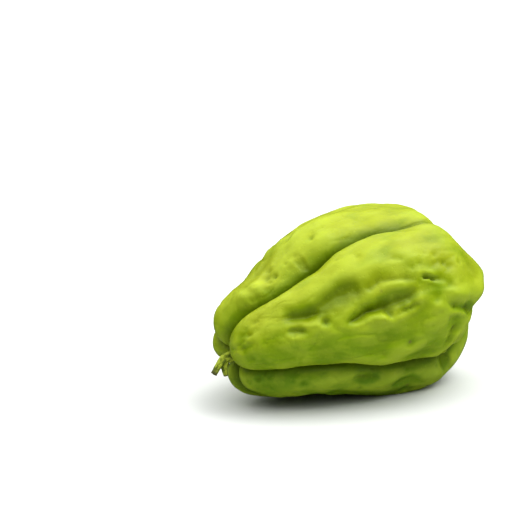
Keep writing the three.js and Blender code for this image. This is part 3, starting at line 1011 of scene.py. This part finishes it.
def joined(parts: list[bpy.types.Object], name: str, low: Vector, high: Vector) -> bpy.types.Object:
    """Join pieces into one mesh and keep it inside a box.

    Args:
        parts: The pieces, which are used up.
        name: The new piece's name.
        low: The box's lowest corner.
        high: The box's highest corner.

    Returns:
        The one piece.
    """
    bpy.ops.object.select_all(action="DESELECT")
    for part in parts:
        part.select_set(True)
    bpy.context.view_layer.objects.active = parts[0]
    bpy.ops.object.join()
    whole = parts[0]
    whole.name = whole.data.name = name
    flat = np.empty(len(whole.data.vertices) * 3)
    whole.data.vertices.foreach_get("co", flat)
    points = np.clip(flat.reshape(-1, 3), np.array(low), np.array(high))
    whole.data.vertices.foreach_set("co", points.ravel())
    whole.data.update()
    return whole


class Graph:
    """A shader node tree that is filled node by node, with the places of a colour Mix node's sockets."""

    SHARE, FIRST, SECOND, RESULT = 0, 6, 7, 2

    def __init__(self, tree: bpy.types.NodeTree) -> None:
        """Keep the tree."""
        self.tree = tree

    def add(self, kind: str, inputs: dict | None = None, **settings: object) -> bpy.types.Node:
        """Add a node.

        Args:
            kind: The node's type, without the leading ShaderNode.
            inputs: Values or sockets for its inputs, by name or place.
            **settings: The node's own settings.

        Returns:
            The new node.
        """
        node = self.tree.nodes.new(kind if kind.startswith("NodeGroup") else f"ShaderNode{kind}")
        for setting, value in settings.items():
            setattr(node, setting, value)
        self.fill(node, inputs or {})
        return node

    def fill(self, node: bpy.types.Node, inputs: dict) -> None:
        """Link the inputs of a node that get a socket, and set the others."""
        for key, value in inputs.items():
            socket = node.inputs[key]
            if isinstance(value, bpy.types.NodeSocket):
                self.tree.links.new(value, socket)
            else:
                socket.default_value = value

    def mixed(self, share: object, first: object, second: object) -> bpy.types.NodeSocket:
        """Mix two colours and give the result's socket."""
        inputs = {self.SHARE: share, self.FIRST: first, self.SECOND: second}
        return self.add("Mix", inputs, data_type="RGBA").outputs[self.RESULT]

    def sum(self, operation: str, *values: object) -> bpy.types.NodeSocket:
        """Work out one sum of values or sockets and give its socket."""
        return self.add("Math", dict(enumerate(values)), operation=operation).outputs[0]

    def ramped(
        self, value: object, low: float, high: float, to_low: float = 0.0, to_high: float = 1.0
    ) -> bpy.types.NodeSocket:
        """Map a value smoothly from one range to another and give the result's socket."""
        ranges = {"Value": value, "From Min": low, "From Max": high, "To Min": to_low, "To Max": to_high}
        return self.add("MapRange", ranges, interpolation_type="SMOOTHSTEP").outputs[0]


def new_group(
    name: str, takes: dict[str, object], gives: dict[str, str]
) -> tuple[Graph, dict, bpy.types.Node]:
    """Start a shader node group.

    Args:
        name: The group's name.
        takes: Its inputs with their values: a tuple makes a vector, a number a float.
        gives: Its outputs with their socket types.

    Returns:
        The group's graph, its input sockets and its output node.
    """
    tree = bpy.data.node_groups.new(name, "ShaderNodeTree")
    for label, value in takes.items():
        kind = "NodeSocketVector" if isinstance(value, tuple) else "NodeSocketFloat"
        socket = tree.interface.new_socket(label, in_out="INPUT", socket_type=kind)
        socket.default_value = value
    for label, kind in gives.items():
        tree.interface.new_socket(label, in_out="OUTPUT", socket_type=kind)
    graph = Graph(tree)
    entry = graph.add("NodeGroupInput")
    return graph, {socket.name: socket for socket in entry.outputs}, graph.add("NodeGroupOutput")


class Effects:
    """The effects that the skin and the stem share, each a node group that is built once."""

    def __init__(self) -> None:
        """Build the groups."""
        self.patches = self.make_patches()
        self.specks = self.make_specks()

    @staticmethod
    def make_patches() -> bpy.types.NodeTree:
        """Make soft patches: noise of a size, cut off smoothly between two levels."""
        takes = {"Vector": (0.0, 0.0, 0.0), "Scale": 50.0, "Detail": 3.0, "From": 0.4, "To": 0.6}
        graph, entry, exit_node = new_group("patches", takes, {"Mask": "NodeSocketFloat"})
        inputs = {name: entry[name] for name in ("Vector", "Scale", "Detail")}
        noise = graph.add("TexNoise", inputs)
        ranges = {"Value": noise.outputs["Fac"], "From Min": entry["From"], "From Max": entry["To"]}
        mask = graph.add("MapRange", ranges, interpolation_type="SMOOTHSTEP")
        graph.tree.links.new(mask.outputs[0], exit_node.inputs["Mask"])
        return graph.tree

    @staticmethod
    def make_specks() -> bpy.types.NodeTree:
        """Make round specks, one at each point of a scattered pattern and fading out from its middle."""
        takes = {"Vector": (0.0, 0.0, 0.0), "Scale": 500.0, "Size": 0.3}
        graph, entry, exit_node = new_group("specks", takes, {"Mask": "NodeSocketFloat"})
        cells = graph.add("TexVoronoi", {"Vector": entry["Vector"], "Scale": entry["Scale"]})
        ranges = {"Value": cells.outputs["Distance"], "From Min": entry["Size"], "From Max": 0.0}
        mask = graph.add("MapRange", ranges, interpolation_type="SMOOTHSTEP")
        graph.tree.links.new(mask.outputs[0], exit_node.inputs["Mask"])
        return graph.tree


class Dresser:
    """Starts a material and reads what its piece carries."""

    PRESSED = (0.38, 1.0, 1.0)
    STREAK_DETAIL = 4.0

    def __init__(self, name: str, effects: Effects) -> None:
        """Start the material with its Principled shader and the piece's own coordinates."""
        self.material = bpy.data.materials.new(name)
        self.material.use_nodes = True
        self.graph = Graph(self.material.node_tree)
        self.shader = self.material.node_tree.nodes["Principled BSDF"]
        self.effects = effects
        self.place = self.graph.add("TexCoord").outputs["Object"]

    def mask(self, mask: Mask) -> bpy.types.NodeSocket:
        """Read one of the mesh's masks."""
        return self.graph.add("Attribute", attribute_name=mask.value).outputs["Fac"]

    def patches(self, scale: float, low: float, high: float) -> bpy.types.NodeSocket:
        """Place the patches group with its own values."""
        inputs = {"Vector": self.place, "Scale": scale, "From": low, "To": high}
        return self.grouped(self.effects.patches, inputs)

    def streaks(self, scale: float, low: float, high: float) -> bpy.types.NodeSocket:
        """Place the patches group on coordinates pressed together along X, which makes long patches."""
        along = self.graph.add("VectorMath", {0: self.place, 1: self.PRESSED}, operation="MULTIPLY")
        inputs = {"Vector": along.outputs[0], "Scale": scale, "From": low, "To": high}
        inputs["Detail"] = self.STREAK_DETAIL
        return self.grouped(self.effects.patches, inputs)

    def specks(self, scale: float, size: float) -> bpy.types.NodeSocket:
        """Place the specks group with its own values."""
        return self.grouped(self.effects.specks, {"Vector": self.place, "Scale": scale, "Size": size})

    def grouped(self, tree: bpy.types.NodeTree, inputs: dict) -> bpy.types.NodeSocket:
        """Place a group and give its mask."""
        node = self.graph.add("Group", node_tree=tree)
        self.graph.fill(node, inputs)
        return node.outputs["Mask"]

    def set(self, **values: object) -> None:
        """Set or link the shader's sockets, with underscores for the spaces in their names."""
        self.graph.fill(self.shader, {name.replace("_", " "): value for name, value in values.items()})


class Noise(NamedTuple):
    """Noise that is cut off smoothly between two levels: its scale, and the levels."""

    scale: float
    low: float
    high: float


class Dots(NamedTuple):
    """Scattered specks: the scale of their pattern, and their size to its step."""

    scale: float
    size: float


def rgba(colour: Colour) -> tuple[float, float, float, float]:
    """Give a colour its alpha."""
    return (*colour, 1.0)


@dataclass(frozen=True)
class SkinFinish:
    """The fruit's waxy skin with its own pale and green streaks, pores and scars, under painted light and
    shade: yellow-green where it faces up, greener on its flanks and darker on the lower lobes, painted shade
    in furrows, hollows and under overhangs, and painted highlights on ridges.

    A share is how much of a layer's colour covers the colour below it, where the layer is full.
    """

    # Painted light: crest is the lit colour of skin that faces up; the colour below it is for skin that faces
    # sideways and down.
    crest: Colour = (0.30, 0.355, 0.008)
    shaded_flank: Colour = (0.185, 0.305, 0.0005)
    # Painted shade: the darker, greener colour of the lower lobes; it is also the tone of the random green
    # streaks.
    under: Colour = (0.085, 0.195, 0.001)
    # Painted shade in the furrows and under overhanging lobes.
    deep: Colour = (0.065, 0.112, 0.0003)
    # Painted shade in hollows and folds.
    hollow: Colour = (0.095, 0.15, 0.0003)
    # Pale streaks and pores of the skin's own, and the painted highlight on ridges.
    pale: Colour = (0.42, 0.52, 0.03)
    scar: Colour = (0.14, 0.13, 0.03)
    clouds: Noise = Noise(38, 0.3, 0.7)
    cloud_share: float = 0.2
    # Levels over which painted light turns the skin from the colour of its flanks to the lit crest.
    painted_light: tuple[float, float] = (0.42, 0.95)
    pale_streaks: Noise = Noise(230, 0.44, 0.66)
    pale_share: float = 0.24
    green_streaks: Noise = Noise(130, 0.48, 0.68)
    green_share: float = 0.3
    # Shares of the painted highlight on ridges and of the painted shade under overhangs, in hollows and in
    # furrows, more in the furrows of the lower lobes.
    ridge_highlight_share: float = 0.45
    shelter_shade_share: float = 0.65
    hollow_shade_share: float = 0.7
    furrow_shade_share: float = 0.5
    lower_lobe_furrow_shade_share: float = 0.35
    pores: Dots = Dots(520, 0.34)
    pore_share: float = 0.12
    pore_depth: float = 0.6
    scars: Dots = Dots(95, 0.13)
    scarred: Noise = Noise(30, 0.5, 0.62)
    scar_share: float = 0.75
    waxed: Noise = Noise(150, 0.3, 0.7)
    rough: tuple[float, float] = (0.33, 0.47)
    grain_scale: float = 900.0
    grain_height: float = 0.35
    bump_strength: float = 0.35
    bump_height: float = 0.0003
    ior: float = 1.4
    shine: float = 0.16
    glow: float = 0.1
    glow_reach: Colour = (0.003, 0.003, 0.0008)

    def make(self, effects: Effects) -> bpy.types.Material:
        """Make the material.

        Args:
            effects: The shared node groups.

        Returns:
            The finished material.
        """
        dresser = Dresser("chayote_skin", effects)
        graph = dresser.graph
        clouds = graph.sum("SUBTRACT", dresser.patches(*self.clouds), 0.5)
        clouds = graph.sum("MULTIPLY", clouds, self.cloud_share)
        # Painted light: yellow-green where the skin faces up, greener where it faces sideways and down,
        # varied by random clouds.
        painted_light = graph.sum("ADD", dresser.mask(Mask.PAINTED_LIGHT), clouds)
        colour = graph.mixed(graph.ramped(painted_light, *self.painted_light), rgba(self.shaded_flank), rgba(self.crest))
        # Painted shade: the lower lobes darker and greener.
        shade = dresser.mask(Mask.PAINTED_SHADE)
        colour = graph.mixed(shade, colour, rgba(self.under))
        # Painted shade in the furrows, stronger on the lower lobes.
        furrow_shade = graph.sum("MULTIPLY_ADD", shade, self.lower_lobe_furrow_shade_share, self.furrow_shade_share)
        pores = dresser.specks(*self.pores)
        scars = graph.sum("MULTIPLY", dresser.specks(*self.scars), dresser.patches(*self.scarred))
        # Pale and green streaks, pores and scars are the skin's own; the rest are painted light and shade.
        for layer, share, tone in (
            (dresser.streaks(*self.pale_streaks), self.pale_share, self.pale),
            (dresser.streaks(*self.green_streaks), self.green_share, self.under),
            # painted highlight on ridges
            (dresser.mask(Mask.RIDGE_HIGHLIGHT), self.ridge_highlight_share, self.pale),
            # painted shade under overhanging lobes
            (dresser.mask(Mask.SHELTER_SHADE), self.shelter_shade_share, self.deep),
            # painted shade in hollows
            (dresser.mask(Mask.HOLLOW_SHADE), self.hollow_shade_share, self.hollow),
            # painted shade in the furrows
            (dresser.mask(Mask.FURROW_SHADE), furrow_shade, self.deep),
            (pores, self.pore_share, self.pale),
            (scars, self.scar_share, self.scar),
        ):
            colour = graph.mixed(graph.sum("MULTIPLY", layer, share), colour, rgba(tone))
        noise = graph.add("TexNoise", {"Vector": dresser.place, "Scale": self.grain_scale}).outputs[0]
        grain = graph.sum("MULTIPLY", noise, self.grain_height)
        height = graph.sum("SUBTRACT", grain, graph.sum("MULTIPLY", pores, self.pore_depth))
        bump = {"Height": height, "Strength": self.bump_strength, "Distance": self.bump_height}
        dresser.set(
            Base_Color=colour, Roughness=graph.ramped(dresser.patches(*self.waxed), 0.0, 1.0, *self.rough),
            Normal=graph.add("Bump", bump).outputs[0], IOR=self.ior, Specular_IOR_Level=self.shine,
            Subsurface_Weight=self.glow, Subsurface_Radius=self.glow_reach, Subsurface_Scale=1.0,
        )
        return dresser.material


@dataclass(frozen=True)
class StemFinish:
    """The stem: green, ribbed and matt, with a dry grey-brown cut."""

    green: Colour = (0.09, 0.13, 0.004)
    light: Colour = (0.36, 0.44, 0.03)
    dry: Colour = (0.05, 0.045, 0.02)
    mottled: Noise = Noise(520, 0.36, 0.6)
    specks: Dots = Dots(1500, 0.3)
    speck_share: float = 0.4
    cut_share: float = 0.85
    grain_scale: float = 1800.0
    grain_levels: tuple[float, float] = (0.3, 0.7)
    rough: tuple[float, float] = (0.6, 0.8)
    bump_strength: float = 0.5
    bump_height: float = 0.0002
    shine: float = 0.2

    def make(self, effects: Effects) -> bpy.types.Material:
        """Make the material.

        Args:
            effects: The shared node groups.

        Returns:
            The finished material.
        """
        dresser = Dresser("chayote_stem", effects)
        graph = dresser.graph
        colour = graph.mixed(dresser.patches(*self.mottled), rgba(self.green), rgba(self.light))
        for layer, share in (
            (dresser.specks(*self.specks), self.speck_share), (dresser.mask(Mask.CUT), self.cut_share)
        ):
            colour = graph.mixed(graph.sum("MULTIPLY", layer, share), colour, rgba(self.dry))
        noise = graph.add("TexNoise", {"Vector": dresser.place, "Scale": self.grain_scale}).outputs[0]
        bump = {"Height": noise, "Strength": self.bump_strength, "Distance": self.bump_height}
        dresser.set(
            Base_Color=colour, Roughness=graph.ramped(noise, *self.grain_levels, *self.rough),
            Normal=graph.add("Bump", bump).outputs[0], Specular_IOR_Level=self.shine,
        )
        return dresser.material


@dataclass(frozen=True)
class FloorFinish:
    """A plain matt floor, hardly uneven in tone and burnt out to the eye. To light that bounces off it, it is
    a painted pool of bounce light near a centre at the fruit's right front and dark further out, and dark in
    reflections.
    """

    light: Colour = (0.655, 0.67, 0.655)
    dark: Colour = (0.635, 0.65, 0.635)
    bounced: Colour = (0.56, 0.57, 0.56)
    far: Colour = (0.03, 0.03, 0.03)
    mirrored: Colour = (0.05, 0.05, 0.05)
    centre: tuple[float, float, float] = (0.07, -0.07, 0.0)
    near_reach: float = 0.14
    far_reach: float = 0.34
    clouds: Noise = Noise(4, 0.3, 0.7)
    rough: float = 0.9

    def make(self, effects: Effects) -> bpy.types.Material:
        """Make the material.

        Args:
            effects: The shared node groups.

        Returns:
            The finished material.
        """
        dresser = Dresser("floor", effects)
        colour = dresser.graph.mixed(dresser.patches(*self.clouds), rgba(self.light), rgba(self.dark))
        path = dresser.graph.add("LightPath")
        # Painted pool of bounce light: bright near the centre, dark beyond far_reach, dark in reflections.
        ends = {0: dresser.place, 1: self.centre}
        away = dresser.graph.add("VectorMath", ends, operation="DISTANCE").outputs["Value"]
        near = dresser.graph.ramped(away, self.near_reach, self.far_reach)
        bounced = dresser.graph.mixed(near, rgba(self.bounced), rgba(self.far))
        bounced = dresser.graph.mixed(path.outputs["Is Glossy Ray"], bounced, rgba(self.mirrored))
        colour = dresser.graph.mixed(path.outputs["Is Camera Ray"], bounced, colour)
        dresser.set(Base_Color=colour, Roughness=self.rough, Specular_IOR_Level=0.0)
        return dresser.material


@dataclass
class Studio:
    """The floor, the soft light from above and the camera at the photograph's angle."""

    floor_half: float = 6.0
    azimuth: float = -35.0
    elevation: float = 14.0
    distance: float = 1.0
    across: float = -0.0358
    upward: float = 0.0235
    lens: float = 161.8
    sensor: float = 36.0
    zenith: float = 2.7
    horizon: float = 0.05
    sky_from: float = 0.18
    sun_strength: float = 1.85
    sun_angle: float = 50.0
    sun_tilt: tuple[float, float, float] = (0.5, -0.28, 1.0)

    def build(self, effects: Effects, origin: Vector) -> None:
        """Set up the stage.

        Args:
            effects: The shared node groups.
            origin: Where the fruit's own origin lies in the frame.
        """
        self.lay_floor(effects)
        self.light()
        self.aim(origin)
        bpy.context.scene.view_settings.view_transform = "Standard"

    def lay_floor(self, effects: Effects) -> None:
        """Lay the floor under the fruit, level with its flattened underside."""
        half = self.floor_half
        mesh = bpy.data.meshes.new("floor")
        square = [(-half, -half, 0), (half, -half, 0), (half, half, 0), (-half, half, 0)]
        mesh.from_pydata(square, [], [(0, 1, 2, 3)])
        mesh.materials.append(FloorFinish().make(effects))
        floor = bpy.data.objects.new("floor", mesh)
        bpy.context.scene.collection.objects.link(floor)

    def light(self) -> None:
        """Light the stage with a sky that is bright overhead and dark low down, and one wide soft sun."""
        world = bpy.data.worlds.new("studio")
        world.use_nodes = True
        bpy.context.scene.world = world
        graph = Graph(world.node_tree)
        backdrop = world.node_tree.nodes["Background"]
        rise = graph.add("SeparateXYZ", {0: graph.add("TexCoord").outputs["Generated"]}).outputs["Z"]
        sky = graph.ramped(rise, self.sky_from, 1.0, self.horizon, self.zenith)
        seen = graph.add("LightPath").outputs["Is Camera Ray"]
        strength = graph.add("Mix", {0: seen, 2: sky, 3: 1.0}, data_type="FLOAT").outputs[0]
        world.node_tree.links.new(strength, backdrop.inputs["Strength"])
        backdrop.inputs["Color"].default_value = (1, 1, 1, 1)
        sun = bpy.data.lights.new("overhead", "SUN")
        sun.energy = self.sun_strength
        sun.angle = math.radians(self.sun_angle)
        lamp = bpy.data.objects.new("overhead", sun)
        lamp.rotation_euler = Vector(self.sun_tilt).to_track_quat("Z", "Y").to_euler()
        bpy.context.scene.collection.objects.link(lamp)

    def aim(self, origin: Vector) -> None:
        """Place the camera at its angle and distance, moved across and upward in its own plane.

        Args:
            origin: Where the fruit's own origin lies in the frame.
        """
        a, e = math.radians(self.azimuth), math.radians(self.elevation)
        back = Vector((math.sin(a) * math.cos(e), -math.cos(a) * math.cos(e), math.sin(e)))
        right = Vector((math.cos(a), math.sin(a), 0))
        up = back.cross(right)
        camera = bpy.data.cameras.new("camera")
        camera.lens, camera.sensor_width = self.lens, self.sensor
        holder = bpy.data.objects.new("camera", camera)
        place = origin + back * self.distance + right * self.across + up * self.upward
        holder.matrix_world = Matrix.Translation(place) @ Matrix((right, up, back)).transposed().to_4x4()
        bpy.context.scene.collection.objects.link(holder)
        bpy.context.scene.camera = holder


def main() -> None:
    """Build the pieces round the frame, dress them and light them."""
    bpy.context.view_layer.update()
    effects = Effects()
    fruit, shift = Fruit(Skin()).build()
    stem = Stem().build(shift)
    for piece, node, slot, finish in (
        (fruit, "fruit", "skin", SkinFinish()),
        (stem, "stem", "stem", StemFinish()),
    ):
        piece.data.materials.clear()
        piece.data.materials.append(finish.make(effects))
        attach(piece, BODY)
        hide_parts(node)
        LOG.info("%s: %d faces", piece.name, len(piece.data.polygons))
    Studio().build(effects, shift)


if __name__ == "__main__":
    logging.basicConfig(level=logging.INFO, format="%(name)s: %(message)s")
    main()
